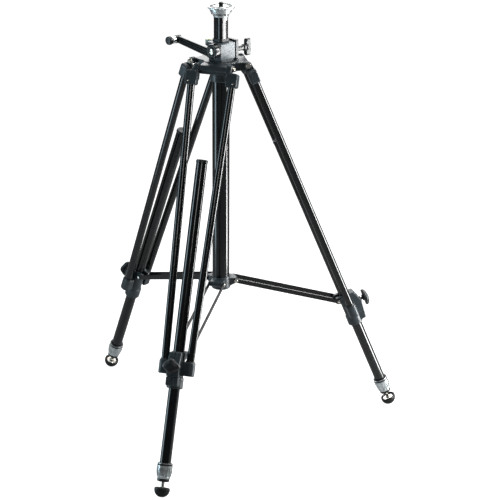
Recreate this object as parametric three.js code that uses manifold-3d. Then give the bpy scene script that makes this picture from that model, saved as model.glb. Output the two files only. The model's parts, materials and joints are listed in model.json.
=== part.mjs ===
// Studio tripod with a geared centre column, standing with its legs spread.
// Millimetres, +Z up. The origin is on the floor, at the centre of the object's box.
import * as THREE from 'three';
import { mergeVertices } from 'three/addons/utils/BufferGeometryUtils.js';
import Module from 'manifold-3d';

const wasm = await Module();
wasm.setup();

// ---- Driving sizes -------------------------------------------------------------------
const GAP = 0.3;                // air between neighbouring pieces
const ROUND_SIDES = 20;

const LEG_SPREAD = THREE.MathUtils.degToRad(22.8);  // each leg from the vertical
const LEG_LENGTH = 856;         // hinge axis to the centre of the foot ball
const HINGE_RADIUS = 48.7;      // hinge axis from the column axis
const BOLT_RADIUS = 3;          // bolt on the hinge axis
const FOOT_BALL = 16.2;         // radius of the rubber foot
const LEGS = { front: 270, left: 150, right: 30 };  // azimuth of each leg, degrees

const TUBE_RADIUS = 8;          // the two fixed shanks of a leg
const TUBE_WALL = 1.4;
const SHANK_SIDES = 16;
const TUBE_TOP = { along: 14, across: 43.7 };
const TUBE_END = { along: 619, across: 26 };

const SLIDE_RADIUS = 11.5;      // the sliding lower section
const SLIDE_TOP = 194;
const SLIDE_END = 806;

const CLAMP = {                 // clamp at the top of a shank
  lugInner: 29.7,
  lugOuter: 40,
  lugRadius: 7.4,
  inner: 31,
  outer: 55,
  out: 9.5,
  top: -12,
  bottom: -38,
};

const CASTING_TOP = 577;        // lock casting, along the leg
const CASTING_END = 651.5;
const EAR = { inner: 4, outer: 37.6, half: 11, top: -595.5, bottom: -624 };
const BRACE_PIN = { along: 582, out: -18 };
const LOCK_KNOB = { along: 606, inner: 35.5, outer: 47, long: 19.5, short: 15.5, tip: 4.5 };

const FLUTES = { count: 15, radius: 15.9, groove: 14.8, top: -807.5, bottom: -831 };

const BAR_INSIDE = 14.8;        // brace bars, from the leg's middle plane
const BAR_THICK = 2.1;
const BAR_HEIGHT = 9.5;
const BAR_ROOM = { out: 7.8, across: 18 };  // left free for the bars as the leg folds
const HUB_PIN = { radius: 30, height: 328.7 };
const HUB_BOTTOM = 311;
const HUB_TOP = 338;

const SLEEVE_RADIUS = 18;       // long tube round the centre column
const SLEEVE_TOP = 800;
const COLUMN_HALF = 12;         // half the width of the square column
const COLUMN_CORNER = 5;
const COLUMN_BOTTOM = 360;
const PLATE_RIM = 28;
const PLATE_TOP = 922;
const PLATE_BOTTOM = 900.5;
const STUD = { radius: 4.76, proud: 8 };

const ARM = { reach: 54, half: 29, low: 794.5, high: 809.5 };   // shoulder arm

const BLOCK = { back: -18, front: 23.5, left: -22.5, right: 19, low: 815, high: 848.5 };
const COVER = { face: 27.5, low: 811.5, high: 852 };            // plate that closes the gear block
const LOCK_HEIGHT = 825;
const LEVEL = { x: -28.5, y: -6, radius: 8.4, low: 840, high: 850.4 };
const BUSH_WALL = 1.6;

const GEAR_MODULE = 1.25;
const PINION_TEETH = 8;
const RACK_TEETH = 107;
const PINION = { x: 16, z: 836.7 };
const RACK_BOTTOM = 470;

const CRANK_LENGTH = 110;
const CRANK_RISE = THREE.MathUtils.degToRad(5.8);
const CRANK_PLANE = [-41, -30];
const CRANK_DROP = 6;           // tip of the arm below the line through the shaft
const GRIP = { length: 20.3, radius: 9, neck: 8 };
const HEAD_TURN = THREE.MathUtils.degToRad(-30);    // gear block against the legs

const HINGE_HEIGHT = FOOT_BALL + LEG_LENGTH * Math.cos(LEG_SPREAD);
const FOOT_CIRCLE = HINGE_RADIUS + LEG_LENGTH * Math.sin(LEG_SPREAD);
const AXIS_Y = FOOT_CIRCLE / 4; // column axis, so that the three feet centre the box

// ---- Materials -----------------------------------------------------------------------
function paint(color, roughness, metalness) {
  return new THREE.MeshStandardMaterial({ color, roughness, metalness });
}
const ANODISED = paint(0x15191b, 0.28, 0.7);
const CASTING = paint(0x23292c, 0.6, 0.3);
const SATIN = paint(0xb4b8b6, 0.35, 0.9);
const STEEL = paint(0xc8c4b4, 0.25, 0.95);
const PLASTIC = paint(0x101214, 0.5, 0.0);
const RUBBER = paint(0x0b0c0d, 0.75, 0.0);
const BRASS = paint(0xa8873c, 0.35, 0.9);
const FLUID = paint(0xa9c23a, 0.15, 0.0);

// ---- Solids: closed geometries, joined and cut ----------------------------------------
function volumeOf(geometry) {
  const p = geometry.attributes.position;
  const index = geometry.index;
  const a = new THREE.Vector3();
  const b = new THREE.Vector3();
  const c = new THREE.Vector3();
  let sum = 0;
  for (let i = 0; i < index.count; i += 3) {
    a.fromBufferAttribute(p, index.getX(i));
    b.fromBufferAttribute(p, index.getX(i + 1));
    c.fromBufferAttribute(p, index.getX(i + 2));
    sum += a.dot(b.cross(c)) / 6;
  }
  return sum;
}

// Merge shared vertices and turn the faces outwards.
function closed(geometry) {
  const bare = geometry.clone();
  bare.deleteAttribute('normal');
  bare.deleteAttribute('uv');
  const merged = mergeVertices(bare, 1e-4);
  if (volumeOf(merged) < 0) {
    const ids = merged.index.array;
    for (let i = 0; i < ids.length; i += 3) {
      [ids[i + 1], ids[i + 2]] = [ids[i + 2], ids[i + 1]];
    }
  }
  return merged;
}

function toManifold(geometry) {
  const vertProperties = new Float32Array(geometry.attributes.position.array);
  const triVerts = new Uint32Array(geometry.index.array);
  return new wasm.Manifold(new wasm.Mesh({ numProp: 3, vertProperties, triVerts }));
}

function toGeometry(solid) {
  const mesh = solid.getMesh();
  const geometry = new THREE.BufferGeometry();
  geometry.setAttribute('position', new THREE.BufferAttribute(mesh.vertProperties, 3));
  geometry.setIndex(new THREE.BufferAttribute(mesh.triVerts, 1));
  return geometry;
}

function join(...pieces) {
  return toGeometry(pieces.map(toManifold).reduce((whole, next) => whole.add(next)));
}

function cut(body, ...tools) {
  return toGeometry(tools.map(toManifold).reduce((rest, tool) => rest.subtract(tool), toManifold(body)));
}

function shift(geometry, x, y, z) {
  return geometry.clone().translate(x, y, z);
}

function block([x0, x1], [y0, y1], [z0, z1]) {
  const box = new THREE.BoxGeometry(x1 - x0, y1 - y0, z1 - z0);
  return closed(box.translate((x0 + x1) / 2, (y0 + y1) / 2, (z0 + z1) / 2));
}

// A rod along Z.
function rod(radius, z0, z1, sides = ROUND_SIDES) {
  const cylinder = new THREE.CylinderGeometry(radius, radius, z1 - z0, sides);
  return closed(cylinder.rotateX(Math.PI / 2).translate(0, 0, (z0 + z1) / 2));
}

function rodX(radius, x0, x1, sides = ROUND_SIDES) {
  return rod(radius, x0, x1, sides).rotateY(Math.PI / 2);
}

function rodY(radius, y0, y1, sides = ROUND_SIDES) {
  return rod(radius, y0, y1, sides).rotateX(-Math.PI / 2);
}

// A body turned round Z. The profile is a list of [radius, z].
function turned(profile, sides = ROUND_SIDES) {
  const points = profile.map(([r, z]) => new THREE.Vector2(r, z));
  return closed(new THREE.LatheGeometry(points, sides).rotateX(Math.PI / 2));
}

function roundedRectangle(x0, x1, y0, y1, r) {
  const shape = new THREE.Shape();
  shape.moveTo(x0 + r, y0);
  shape.lineTo(x1 - r, y0);
  shape.absarc(x1 - r, y0 + r, r, -Math.PI / 2, 0);
  shape.lineTo(x1, y1 - r);
  shape.absarc(x1 - r, y1 - r, r, 0, Math.PI / 2);
  shape.lineTo(x0 + r, y1);
  shape.absarc(x0 + r, y1 - r, r, Math.PI / 2, Math.PI);
  shape.lineTo(x0, y0 + r);
  shape.absarc(x0 + r, y0 + r, r, Math.PI, Math.PI * 1.5);
  return shape;
}

function polygon(points) {
  return new THREE.Shape(points.map(([x, y]) => new THREE.Vector2(x, y)));
}

// Extrude an XY outline along Z, with its edges eased when a bevel is given.
function extruded(shape, z0, z1, bevel = 0, curveSegments = 4) {
  const settings = {
    depth: z1 - z0 - 2 * bevel,
    bevelEnabled: bevel > 0,
    bevelThickness: bevel,
    bevelSize: bevel,
    bevelOffset: -bevel,
    bevelSegments: 1,
    curveSegments,
  };
  return closed(new THREE.ExtrudeGeometry(shape, settings).translate(0, 0, z0 + bevel));
}

// Extrude an outline drawn in (Y, Z) along X, and one drawn in (X, Z) along Y.
function extrudedX(shape, x0, x1, bevel = 0, curveSegments = 4) {
  const geometry = extruded(shape, x0, x1, bevel, curveSegments);
  return geometry.rotateX(Math.PI / 2).rotateZ(Math.PI / 2);
}

function extrudedY(shape, y0, y1, bevel = 0, curveSegments = 4) {
  return extruded(shape, -y1, -y0, bevel, curveSegments).rotateX(Math.PI / 2);
}

function add(group, name, material, geometry) {
  const mesh = new THREE.Mesh(geometry.index ? geometry : closed(geometry), material);
  mesh.name = name;
  group.add(mesh);
  return mesh;
}

// ---- Leg: X points out from the leg, Y across it, and Z is minus the way down it --------
const TUBE_RUN = new THREE.Vector2(TUBE_END.along - TUBE_TOP.along, TUBE_TOP.across - TUBE_END.across);
const TUBE_SLANT = Math.atan2(TUBE_RUN.y, TUBE_RUN.x);

// Lay a body made along -Z from the hinge end onto the slanting line of one shank.
function ontoShank(geometry, side) {
  geometry.rotateX(-side * TUBE_SLANT);
  return geometry.translate(0, side * TUBE_TOP.across, -TUBE_TOP.along);
}

function shankTube(side) {
  const length = TUBE_RUN.length();
  const tube = cut(
    rod(TUBE_RADIUS, -length, 0, SHANK_SIDES),
    rod(TUBE_RADIUS - TUBE_WALL, -length - 1, 1, SHANK_SIDES),
  );
  return ontoShank(tube, side);
}

// Two limits measured from the leg's middle plane, on one side of it.
function across(side, near, far) {
  return side > 0 ? [near, far] : [-far, -near];
}

function shankHole(side, from, to) {
  return ontoShank(rod(TUBE_RADIUS + GAP, -to, -from, SHANK_SIDES), side);
}

// Clamp at the top of a shank: a lug on the hinge bolt and a socket for the tube.
function upperClamp(side) {
  const outline = new THREE.Shape();
  outline.absarc(0, 0, CLAMP.lugRadius, 0, Math.PI);
  outline.lineTo(-CLAMP.out, CLAMP.top - 10);
  outline.lineTo(CLAMP.out, CLAMP.top - 10);
  const lug = extrudedY(outline, ...across(side, CLAMP.lugInner, CLAMP.lugOuter), 1, 4);
  const face = roundedRectangle(...across(side, CLAMP.inner, CLAMP.outer), CLAMP.bottom, CLAMP.top, 5);
  const box = extrudedX(face, -CLAMP.out, CLAMP.out, 2, 1);
  return cut(
    join(lug, box),
    shankHole(side, -GAP, 60),
    rodY(BOLT_RADIUS + 0.4, ...across(side, CLAMP.lugInner - 5, CLAMP.lugOuter + 10), 10),
  );
}

function lockCasting() {
  const bottom = -CASTING_END;
  const upper = rod(14.5, -634, -CASTING_TOP, 16);
  const lower = turned([
    [0, bottom], [15.6, bottom], [16.6, bottom + 1.2], [16.6, -630], [14.5, -627], [0, -627],
  ], 16);
  const wedge = extrudedY(polygon([
    [8, bottom + 5], [24, bottom + 5], [29, bottom + 48.5], [20, -CASTING_TOP - 1], [8, -CASTING_TOP - 1],
  ]), -13, 13, 1.2);
  const room = block(
    [-EAR.half - 1, BAR_ROOM.out],
    [-BAR_ROOM.across, BAR_ROOM.across],
    [EAR.bottom - 1, EAR.top + 1],
  );
  const ears = [-1, 1].map((side) => {
    const section = roundedRectangle(-EAR.half, EAR.half, ...across(side, EAR.inner, EAR.outer), 10);
    return cut(extruded(section, EAR.bottom, EAR.top, 1.2, 3), room);
  });
  const lugOutline = new THREE.Shape();
  lugOutline.absarc(BRACE_PIN.out, -BRACE_PIN.along, 7.5, Math.PI / 2, Math.PI * 1.5);
  lugOutline.lineTo(0, -BRACE_PIN.along - 12);
  lugOutline.lineTo(0, -CASTING_TOP);
  lugOutline.lineTo(BRACE_PIN.out, -BRACE_PIN.along + 7.5);
  const lug = extrudedY(lugOutline, -14.2, 14.2, 0, 5);
  return cut(
    join(upper, lower, wedge, ...ears, lug),
    rod(SLIDE_RADIUS + 0.5, bottom - 5, -CASTING_TOP + 20),
    shankHole(-1, 500, TUBE_RUN.length() + GAP),
    shankHole(1, 500, TUBE_RUN.length() + GAP),
    block([10, 40], [-0.8, 0.8], [bottom - 5, -CASTING_TOP + 5]),
    rodX(3.3, 14, 40, 12).translate(0, 0, -LOCK_KNOB.along),
    rodY(3.3, -20, 20, 10).translate(BRACE_PIN.out, 0, -BRACE_PIN.along),
  );
}

// Lozenge knob on a screw that draws the casting tight round the slide.
function lockKnob(turn) {
  const { long, short, tip, inner, outer } = LOCK_KNOB;
  const outline = new THREE.Shape();
  outline.moveTo(long, -tip / 2);
  outline.lineTo(long, tip / 2);
  outline.lineTo(tip / 2, short);
  outline.lineTo(-tip / 2, short);
  outline.lineTo(-long, tip / 2);
  outline.lineTo(-long, -tip / 2);
  outline.lineTo(-tip / 2, -short);
  outline.lineTo(tip / 2, -short);
  const handle = extrudedX(outline, inner, outer, 2.2).rotateX(turn);
  const knob = join(handle, rodX(6.5, inner - 2.3, inner + 1.5, 12), rodX(3, 15, inner + 0.5, 12));
  return knob.translate(0, 0, -LOCK_KNOB.along);
}

function slideTube() {
  return cut(
    rod(SLIDE_RADIUS, -SLIDE_END, -SLIDE_TOP),
    rod(SLIDE_RADIUS - TUBE_WALL, -SLIDE_END - 1, -SLIDE_TOP + 1),
  );
}

function tubeCap() {
  const top = -SLIDE_TOP + 6.5;
  return turned([
    [0, -SLIDE_TOP - 9], [9.6, -SLIDE_TOP - 9], [9.6, -SLIDE_TOP + GAP], [12.2, -SLIDE_TOP + GAP],
    [12.2, top - 1.5], [10.8, top], [0, top],
  ]);
}

// Fluted collar: a ring above it, fifteen flutes, and a smaller ring below.
function footCollar() {
  const corners = [[FLUTES.radius, 0], [FLUTES.radius, 0.6], [FLUTES.groove, 0.7], [FLUTES.groove, 0.9]];
  const outline = [];
  for (let i = 0; i < FLUTES.count; i += 1) {
    for (const [r, part] of corners) {
      const angle = ((i + part) / FLUTES.count) * 2 * Math.PI;
      outline.push([r * Math.cos(angle), r * Math.sin(angle)]);
    }
  }
  const barrel = extruded(polygon(outline), FLUTES.bottom, FLUTES.top);
  const topRing = rod(14.6, -808.5, -801.5);
  const lowRing = turned([[0, -839.5], [11.8, -839.5], [12.6, -833], [14, -830], [0, -830]]);
  return cut(
    join(barrel, topRing, lowRing),
    rod(SLIDE_RADIUS + GAP, -SLIDE_END - GAP, -800),
    rod(5, -845, -800, 12),
  );
}

function footSpike() {
  return turned([
    [0, -867], [4.6, -854], [4.6, -SLIDE_END + 1], [9.7, -SLIDE_END + 1],
    [9.7, -SLIDE_END + 11], [0, -SLIDE_END + 11],
  ], 12);
}

// Rubber foot: most of a ball, dished on top, with a way through for the spike.
function footPad() {
  const bore = 5;
  const steps = 6;
  const low = Math.asin(bore / FOOT_BALL);
  const high = Math.PI / 2 + 0.33;
  const profile = [];
  for (let i = 0; i <= steps; i += 1) {
    const angle = low + ((high - low) * i) / steps;
    profile.push([FOOT_BALL * Math.sin(angle), -LEG_LENGTH - FOOT_BALL * Math.cos(angle)]);
  }
  const rim = profile[profile.length - 1];
  profile.push([rim[0] - 1.6, rim[1] + 1.2], [rim[0] - 3.3, rim[1] - 0.3]);
  profile.push([rim[0] - 4.8, rim[1] - 4.2], [bore, rim[1] - 4.9]);
  profile.push(profile[0]);
  return turned(profile, 18);
}

// ---- Braces ----------------------------------------------------------------------------
function legPoint(along, out) {
  return {
    radius: HINGE_RADIUS + along * Math.sin(LEG_SPREAD) + out * Math.cos(LEG_SPREAD),
    height: HINGE_HEIGHT - along * Math.cos(LEG_SPREAD) + out * Math.sin(LEG_SPREAD),
  };
}

// Flat bar from the hub to the leg, with its half of the riveted leg pin.
function braceBar(side) {
  const end = legPoint(BRACE_PIN.along, BRACE_PIN.out);
  const run = new THREE.Vector2(end.radius - HUB_PIN.radius, end.height - HUB_PIN.height);
  const half = BAR_HEIGHT / 2;
  const outline = new THREE.Shape();
  outline.absarc(run.length(), 0, half, -Math.PI / 2, Math.PI / 2);
  outline.absarc(0, 0, half, Math.PI / 2, Math.PI * 1.5);
  const bar = extrudedY(outline, ...across(side, BAR_INSIDE, BAR_INSIDE + BAR_THICK), 0, 3);
  const rivet = rodY(3.6, ...across(side, BAR_INSIDE - 0.2, BAR_INSIDE + 2.7), 8);
  rivet.translate(run.length(), 0, 0);
  const pierced = cut(join(bar, rivet), rodY(3.4, -20, 20, 8));
  return pierced.rotateY(-run.angle()).translate(HUB_PIN.radius, 0, HUB_PIN.height);
}

// Sliding ring under the column sleeve with three lugs and their pins.
function braceHub() {
  const ring = turned([
    [0, HUB_BOTTOM], [18.6, HUB_BOTTOM], [20.4, HUB_BOTTOM + 2.5],
    [20.4, HUB_TOP - 1.5], [19.4, HUB_TOP], [0, HUB_TOP],
  ], 24);
  const lugs = Object.values(LEGS).flatMap((azimuth) => {
    const outline = new THREE.Shape();
    outline.absarc(HUB_PIN.radius, HUB_PIN.height, 5.6, -Math.PI / 2, Math.PI / 2);
    outline.lineTo(14, HUB_PIN.height + 7);
    outline.lineTo(14, HUB_BOTTOM + 5);
    const lug = extrudedY(outline, -14.3, 14.3, 0, 4);
    const pin = rodY(2.9, -18.4, 18.4, 8).translate(HUB_PIN.radius, 0, HUB_PIN.height);
    return [lug, pin].map((piece) => piece.rotateZ(THREE.MathUtils.degToRad(azimuth)));
  });
  return cut(join(ring, ...lugs), rod(SLEEVE_RADIUS + 0.6, HUB_BOTTOM - 5, HUB_TOP + 9, 24));
}

// ---- Shoulder and column -------------------------------------------------------------------
function hingeBolt() {
  const inner = CLAMP.lugOuter + 0.5;
  const shaft = rodY(BOLT_RADIUS, -inner - 1, inner + 1, 12);
  const heads = [-1, 1].map((side) => rodY(5.4, ...across(side, inner, inner + 4), 6));
  return join(shaft, ...heads);
}

function columnHole(z0, z1) {
  const half = COLUMN_HALF + 0.4;
  return extruded(roundedRectangle(-half, half, -half, half, COLUMN_CORNER + 0.2), z0, z1, 0, 2);
}

// Three wide arms carry the leg hinges; a collar below takes the sleeve, a neck the gear block.
function shoulder() {
  const arms = Object.values(LEGS).map((azimuth) => {
    const outline = roundedRectangle(12, ARM.reach, -ARM.half, ARM.half, 4);
    const arm = extruded(outline, ARM.low, ARM.high, 1.8, 2);
    return arm.rotateZ(THREE.MathUtils.degToRad(azimuth));
  });
  const disc = rod(37, 791.5, 811, 24);
  const collar = turned([[0, 772], [20.4, 772], [21.6, 773.2], [21.6, 782], [24, 795], [0, 795]], 24);
  const neck = extruded(roundedRectangle(-17, 21, -20, BLOCK.right, 5), ARM.high - 0.5, BLOCK.low - GAP);
  neck.rotateZ(HEAD_TURN);
  const holes = Object.values(LEGS).map((azimuth) => {
    const hole = rodY(BOLT_RADIUS + GAP, -ARM.half - 1, ARM.half + 1, 10);
    hole.translate(HINGE_RADIUS, 0, HINGE_HEIGHT);
    return hole.rotateZ(THREE.MathUtils.degToRad(azimuth));
  });
  return cut(
    join(...arms, disc, collar, neck),
    rod(SLEEVE_RADIUS + 0.5, 765, SLEEVE_TOP + GAP, 24),
    columnHole(SLEEVE_TOP - 5, 830).rotateZ(HEAD_TURN),
    ...holes,
  );
}

function columnSleeve() {
  return cut(
    rod(SLEEVE_RADIUS, HUB_BOTTOM + 4, SLEEVE_TOP, 24),
    rod(SLEEVE_RADIUS - 1.3, HUB_BOTTOM, SLEEVE_TOP + 1, 24),
  );
}

// Plug that closes the foot of the sleeve.
function sleevePlug() {
  return turned([
    [0, HUB_BOTTOM + 0.5], [16.5, HUB_BOTTOM + 0.5], [18, HUB_BOTTOM + 2], [18, HUB_BOTTOM + 4 - GAP],
    [16.3, HUB_BOTTOM + 4 - GAP], [16.3, HUB_BOTTOM + 8], [0, HUB_BOTTOM + 8],
  ], 24);
}

// ---- Gear block: X faces azimuth 330, Y azimuth 60 ------------------------------------------
const PINION_ROOT = (PINION_TEETH / 2 - 1.05) * GEAR_MODULE;
const PINION_TIP = (PINION_TEETH / 2 + 0.85) * GEAR_MODULE;
const TOOTH_PITCH = Math.PI * GEAR_MODULE;
const RACK_PITCH_X = PINION.x - (PINION_TEETH / 2) * GEAR_MODULE;

function gearHousing() {
  const outline = roundedRectangle(BLOCK.back, BLOCK.front, BLOCK.left, BLOCK.right, 2.5);
  const body = extruded(outline, BLOCK.low, BLOCK.high, 0.8);
  const seat = [LEVEL.low - 4, LEVEL.low - GAP];
  const levelSeat = rod(LEVEL.radius, ...seat, 24).translate(LEVEL.x, LEVEL.y, 0);
  const levelArm = block([LEVEL.x, BLOCK.back + 3], [LEVEL.y - 6.5, LEVEL.y + 6.5], seat);
  return cut(
    join(body, levelSeat, levelArm),
    columnHole(BLOCK.low - 5, BLOCK.high + 5),
    rodY(6.3, -1, 11, 24).translate(PINION.x, 0, PINION.z),
    rodY(3.9, BLOCK.left - 5, 17, 20).translate(PINION.x, 0, PINION.z),
    rodY(6.4, 5, BLOCK.right + 5, 24).translate(0, 0, LOCK_HEIGHT),
  );
}

function housingCover() {
  const plate = roundedRectangle(BLOCK.back, BLOCK.front, COVER.low, COVER.high, 2);
  return cut(
    extrudedY(plate, BLOCK.right + GAP + 0.6, COVER.face, 0.8),
    rodY(4.3, 10, 40, 20).translate(0, 0, LOCK_HEIGHT),
  );
}

function columnBush() {
  const half = COLUMN_HALF + BUSH_WALL;
  const outline = roundedRectangle(-half, half, -half, half, COLUMN_CORNER + 0.8);
  const flange = extruded(outline, BLOCK.high + GAP, BLOCK.high + 7, 0.6);
  return cut(flange, columnHole(BLOCK.high - 5, BLOCK.high + 12));
}

function spiritLevel() {
  const { radius, low, high } = LEVEL;
  const profile = [
    [0, low], [radius, low], [radius, high - 1.1],
    [radius - 1, high - 0.4], [radius - 2, high - 1], [0, high],
  ];
  return turned(profile, 24).translate(LEVEL.x, LEVEL.y, 0);
}

function lockShoe() {
  return rodY(6, COLUMN_HALF + 0.6, 16.5, 20).translate(0, 0, LOCK_HEIGHT);
}

function columnLockKnob() {
  const wing = extrudedY(roundedRectangle(-5.5, 5.5, -18, 18, 4), 69, 80, 1.5, 2);
  const knob = join(wing, rodY(7, 60, 71, 16), rodY(5, 40, 61, 16), rodY(4, 16.8, 42, 16));
  return knob.translate(0, 0, LOCK_HEIGHT);
}

// Rack and pinion with straight-flanked teeth.
function rackTooth(z) {
  const tip = 0.36;
  const root = 1.05;
  const low = RACK_PITCH_X - 1.2;
  const high = COLUMN_HALF - 0.1;
  return [[low, z - root], [high, z - tip], [high, z + tip], [low, z + root]];
}

function columnRack() {
  const back = RACK_PITCH_X - 1.7;
  const phase = (PINION.z - RACK_BOTTOM) / TOOTH_PITCH;
  const first = RACK_BOTTOM + (phase - Math.floor(phase) + 0.5) * TOOTH_PITCH;
  const outline = [[back, first - TOOTH_PITCH / 2]];
  for (let i = 0; i < RACK_TEETH; i += 1) {
    outline.push(...rackTooth(first + i * TOOTH_PITCH));
  }
  outline.push([back, first + (RACK_TEETH - 0.5) * TOOTH_PITCH]);
  return extrudedY(polygon(outline), 2.3, 7.7);
}

function pinionShaft() {
  const outline = [];
  for (let i = 0; i < PINION_TEETH; i += 1) {
    const middle = Math.PI + (i / PINION_TEETH) * 2 * Math.PI;
    const corners = [[PINION_ROOT, -0.2], [PINION_TIP, -0.062], [PINION_TIP, 0.062], [PINION_ROOT, 0.2]];
    corners.forEach(([r, half]) => {
      outline.push([r * Math.cos(middle + half), r * Math.sin(middle + half)]);
    });
  }
  const gear = extrudedY(polygon(outline), 3, 7);
  const shaft = rodY(3.5, -33, 16.5, 20);
  const hub = rodY(14.5, -29.3, -24.5, 20);
  return join(shaft, gear, hub).translate(PINION.x, 0, PINION.z);
}

function centreColumn() {
  const half = COLUMN_HALF;
  const outline = roundedRectangle(-half, half, -half, half, COLUMN_CORNER);
  const slot = [RACK_BOTTOM - 1, RACK_BOTTOM + (RACK_TEETH + 1.5) * TOOTH_PITCH];
  return cut(
    extruded(outline, COLUMN_BOTTOM, PLATE_BOTTOM - GAP, 0, 2),
    rod(7.9, COLUMN_BOTTOM - 5, PLATE_BOTTOM + 5),
    block([RACK_PITCH_X - 2, half + 5], [2, 8], slot),
  );
}

function topPlate() {
  const body = turned([
    [0, PLATE_BOTTOM - 20], [7.6, PLATE_BOTTOM - 20], [7.6, PLATE_BOTTOM], [15.8, PLATE_BOTTOM],
    [17.5, PLATE_BOTTOM + 5], [23, PLATE_TOP - 8], [24, PLATE_TOP - 4], [PLATE_RIM, PLATE_TOP - 3],
    [PLATE_RIM, PLATE_TOP - 0.6], [PLATE_RIM - 0.6, PLATE_TOP], [0, PLATE_TOP],
  ], 24);
  const pockets = [0, 1, 2, 3, 4, 5].map((i) => {
    const angle = ((i + 0.5) / 6) * 2 * Math.PI;
    const pocket = rod(3.4, PLATE_TOP - 2.6, PLATE_TOP + 5, 8);
    return pocket.translate(20 * Math.cos(angle), 20 * Math.sin(angle), 0);
  });
  return cut(body, rod(5.1, PLATE_TOP - 8.3, PLATE_TOP + 5, 20), ...pockets);
}

function mountScrew() {
  const low = PLATE_TOP - 8;
  const high = PLATE_TOP + STUD.proud;
  const profile = [[0, low], [STUD.radius, low], [STUD.radius, high - 1], [STUD.radius - 1, high], [0, high]];
  return turned(profile, 16);
}

// Crank arm with a ring round the shaft and a fixed axle for the grip.
const CRANK_TIP = {
  x: -CRANK_LENGTH * Math.cos(CRANK_RISE),
  z: -CRANK_DROP + CRANK_LENGTH * Math.sin(CRANK_RISE),
};

function crankArm() {
  const [outer, inner] = CRANK_PLANE;
  const outline = polygon([[4, -9.5], [4, 8.8], [-CRANK_LENGTH, 7.4], [-CRANK_LENGTH, -7.4]]);
  const bar = extrudedY(outline, outer, inner, 1.6).rotateY(CRANK_RISE).translate(0, 0, -CRANK_DROP);
  const hub = rodY(15, outer, inner, 20);
  const eye = rodY(8.6, outer - 1.5, inner, 16).translate(CRANK_TIP.x, 0, CRANK_TIP.z);
  const axle = rodY(3, outer - GRIP.length + 1.8, outer + 2, 16).translate(CRANK_TIP.x, 0, CRANK_TIP.z);
  const arm = cut(join(bar, hub, eye, axle), rodY(3.9, outer + 3, inner + 5, 20));
  return arm.translate(PINION.x, 0, PINION.z);
}

function crankGrip() {
  const start = CRANK_PLANE[0] - 2;
  const { length, radius, neck } = GRIP;
  const grip = turned([
    [0, 0], [neck, 0], [neck, length - 9], [radius, length - 8], [radius, length - 3],
    [radius - 1, length - 0.8], [radius - 3.5, length], [0, length],
  ], 18);
  grip.rotateX(Math.PI / 2).translate(0, start, 0);
  const bored = cut(grip, rodY(3.3, start - length + 3, start + 5, 16));
  return bored.translate(PINION.x + CRANK_TIP.x, 0, PINION.z + CRANK_TIP.z);
}

// ---- Assembly --------------------------------------------------------------------------------
const tripod = new THREE.Group();
tripod.position.y = AXIS_Y;

for (const [leg, azimuth] of Object.entries(LEGS)) {
  const spoke = new THREE.Group();
  spoke.rotation.z = THREE.MathUtils.degToRad(azimuth);
  tripod.add(spoke);
  add(spoke, `${leg}_hinge_bolt`, STEEL, shift(hingeBolt(), HINGE_RADIUS, 0, HINGE_HEIGHT));
  const limb = new THREE.Group();
  limb.position.set(HINGE_RADIUS, 0, HINGE_HEIGHT);
  limb.rotation.y = -LEG_SPREAD;
  spoke.add(limb);
  for (const [hand, side] of [['left', -1], ['right', 1]]) {
    add(limb, `${leg}_upper_clamp_${hand}`, CASTING, upperClamp(side));
    add(limb, `${leg}_shank_tube_${hand}`, ANODISED, shankTube(side));
    add(spoke, `${leg}_brace_bar_${hand}`, ANODISED, braceBar(side));
  }
  add(limb, `${leg}_lock_casting`, CASTING, lockCasting());
  add(limb, `${leg}_lock_knob`, PLASTIC, lockKnob(leg === 'front' ? 0 : Math.PI / 2));
  add(limb, `${leg}_slide_tube`, ANODISED, slideTube());
  add(limb, `${leg}_tube_cap`, PLASTIC, tubeCap());
  add(limb, `${leg}_foot_collar`, SATIN, footCollar());
  add(limb, `${leg}_foot_spike`, STEEL, footSpike());
  add(limb, `${leg}_foot_pad`, RUBBER, footPad());
}

add(tripod, 'shoulder', CASTING, shoulder());
add(tripod, 'column_sleeve', ANODISED, columnSleeve());
add(tripod, 'sleeve_plug', PLASTIC, sleevePlug());
add(tripod, 'brace_hub', CASTING, braceHub());

const head = new THREE.Group();
head.rotation.z = HEAD_TURN;
tripod.add(head);
add(head, 'gear_housing', CASTING, gearHousing());
add(head, 'housing_cover', CASTING, housingCover());
add(head, 'column_bush', PLASTIC, columnBush());
add(head, 'spirit_level', FLUID, spiritLevel());
add(head, 'lock_shoe', BRASS, lockShoe());
add(head, 'column_lock_knob', PLASTIC, columnLockKnob());
add(head, 'pinion_shaft', STEEL, pinionShaft());
add(head, 'crank_arm', CASTING, crankArm());
add(head, 'crank_grip', PLASTIC, crankGrip());
add(head, 'centre_column', ANODISED, centreColumn());
add(head, 'column_rack', STEEL, columnRack());
add(head, 'top_plate', SATIN, topPlate());
add(head, 'mount_screw', STEEL, mountScrew());

export default tripod;
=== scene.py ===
# Looks of a studio tripod with a geared centre column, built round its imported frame.
# Shapes are drawn in millimetres, in the axes of the place that they belong to.
import json
import math
import bmesh
import bpy
from mathutils import Matrix, Vector


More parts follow.
